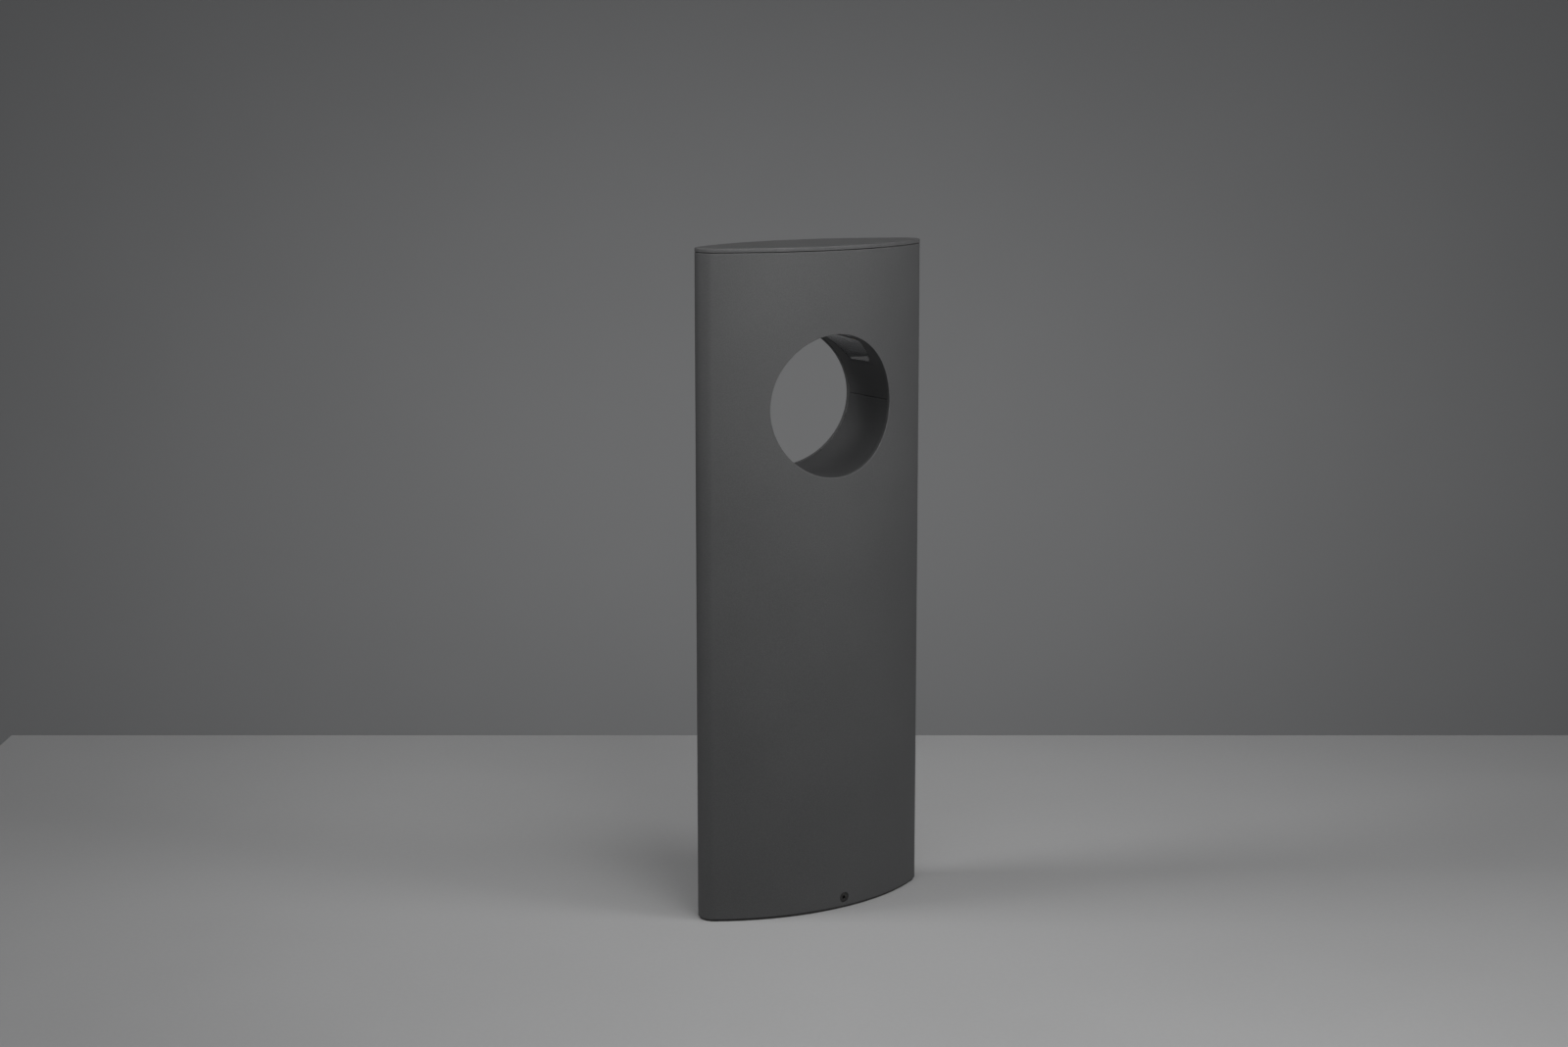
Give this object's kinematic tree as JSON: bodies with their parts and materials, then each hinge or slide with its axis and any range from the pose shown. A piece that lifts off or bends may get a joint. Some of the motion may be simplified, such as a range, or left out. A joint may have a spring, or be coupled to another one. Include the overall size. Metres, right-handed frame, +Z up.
{
  "type": "path light",
  "caption": "Pointed-oval graphite path light post with a round light opening through its upper part, a lift-out head and a cast foot.",
  "frame": {"origin": "middle of the footprint on the ground", "axes": "+Z up the post, +X along the width, -Y towards the front face, where the off-centre fixing screw lies to +X"},
  "size_m": [0.194, 0.073, 0.5],
  "materials": {
    "graphite_coat": "fine-textured matt powder coat on aluminium",
    "cast_aluminium": "die cast, shot blasted",
    "bare_aluminium": "mill finish",
    "zinc_steel": "zinc-plated",
    "black_steel": "blackened stainless steel",
    "spring_steel": "bright rolled strip",
    "black_rubber": "moulded EPDM",
    "black_plastic": "fine moulded texture",
    "white_plastic": "fine moulded texture",
    "clear_lens": "clear polycarbonate, polished",
    "board_mask": "black solder mask on an aluminium-core board",
    "led_phosphor": "phosphor dome, unlit",
    "brown_lead": "extruded insulation",
    "blue_lead": "extruded insulation",
    "green_lead": "extruded insulation, green with a yellow stripe"
  },
  "bodies": {
    "foot": {"foot_gasket": "black_rubber", "foot_casting": "cast_aluminium", "cable_grommet": "black_rubber"},
    "post": {"post_shell": "graphite_coat", "fixing_screw_front": "black_steel", "fixing_screw_back": "black_steel", "fixing_nut_front": "zinc_steel", "fixing_nut_back": "zinc_steel", "lower_liner": "graphite_coat", "equipment_tray": "bare_aluminium", "tray_screw_left": "zinc_steel", "tray_screw_right": "zinc_steel", "led_driver": "white_plastic", "driver_screw_lower": "zinc_steel", "driver_screw_upper": "zinc_steel", "terminal_block": "white_plastic", "terminal_screw_1": "zinc_steel", "terminal_screw_2": "zinc_steel", "terminal_screw_3": "zinc_steel", "terminal_screw_4": "zinc_steel", "terminal_screw_5": "zinc_steel", "terminal_screw_6": "zinc_steel", "cable_clamp": "white_plastic", "clamp_screw_left": "zinc_steel", "clamp_screw_right": "zinc_steel", "earth_screw": "zinc_steel", "live_lead": "brown_lead", "neutral_lead": "blue_lead", "earth_lead": "green_lead", "driver_output_lead": "black_plastic", "head_socket": "black_plastic"},
    "head": {"top_cap": "graphite_coat", "cap_seal": "black_rubber", "upper_liner": "graphite_coat", "window_lens": "clear_lens", "lens_seal": "black_rubber", "reflector_frame": "black_plastic", "heat_sink": "bare_aluminium", "foot_screw_left_front": "zinc_steel", "foot_screw_left_back": "zinc_steel", "foot_screw_right_front": "zinc_steel", "foot_screw_right_back": "zinc_steel", "cap_screw_left": "zinc_steel", "cap_screw_right": "zinc_steel", "spring_clip_left": "spring_steel", "spring_clip_right": "spring_steel", "clip_screw_left": "zinc_steel", "clip_screw_right": "zinc_steel", "led_board": "board_mask", "led_1": "led_phosphor", "led_2": "led_phosphor", "led_3": "led_phosphor", "led_4": "led_phosphor", "led_5": "led_phosphor", "led_6": "led_phosphor", "led_7": "led_phosphor", "led_8": "led_phosphor", "head_plug": "black_plastic", "head_lead": "black_plastic"}
  },
  "joints": [
    {"name": "post_lift", "type": "slide", "parent": "foot", "child": "post", "axis": [0, 0, 1], "range_m": [0, 0.08]},
    {"name": "head_lift", "type": "slide", "parent": "post", "child": "head", "axis": [0, 0, 1], "range_m": [0, 0.135]}
  ]
}
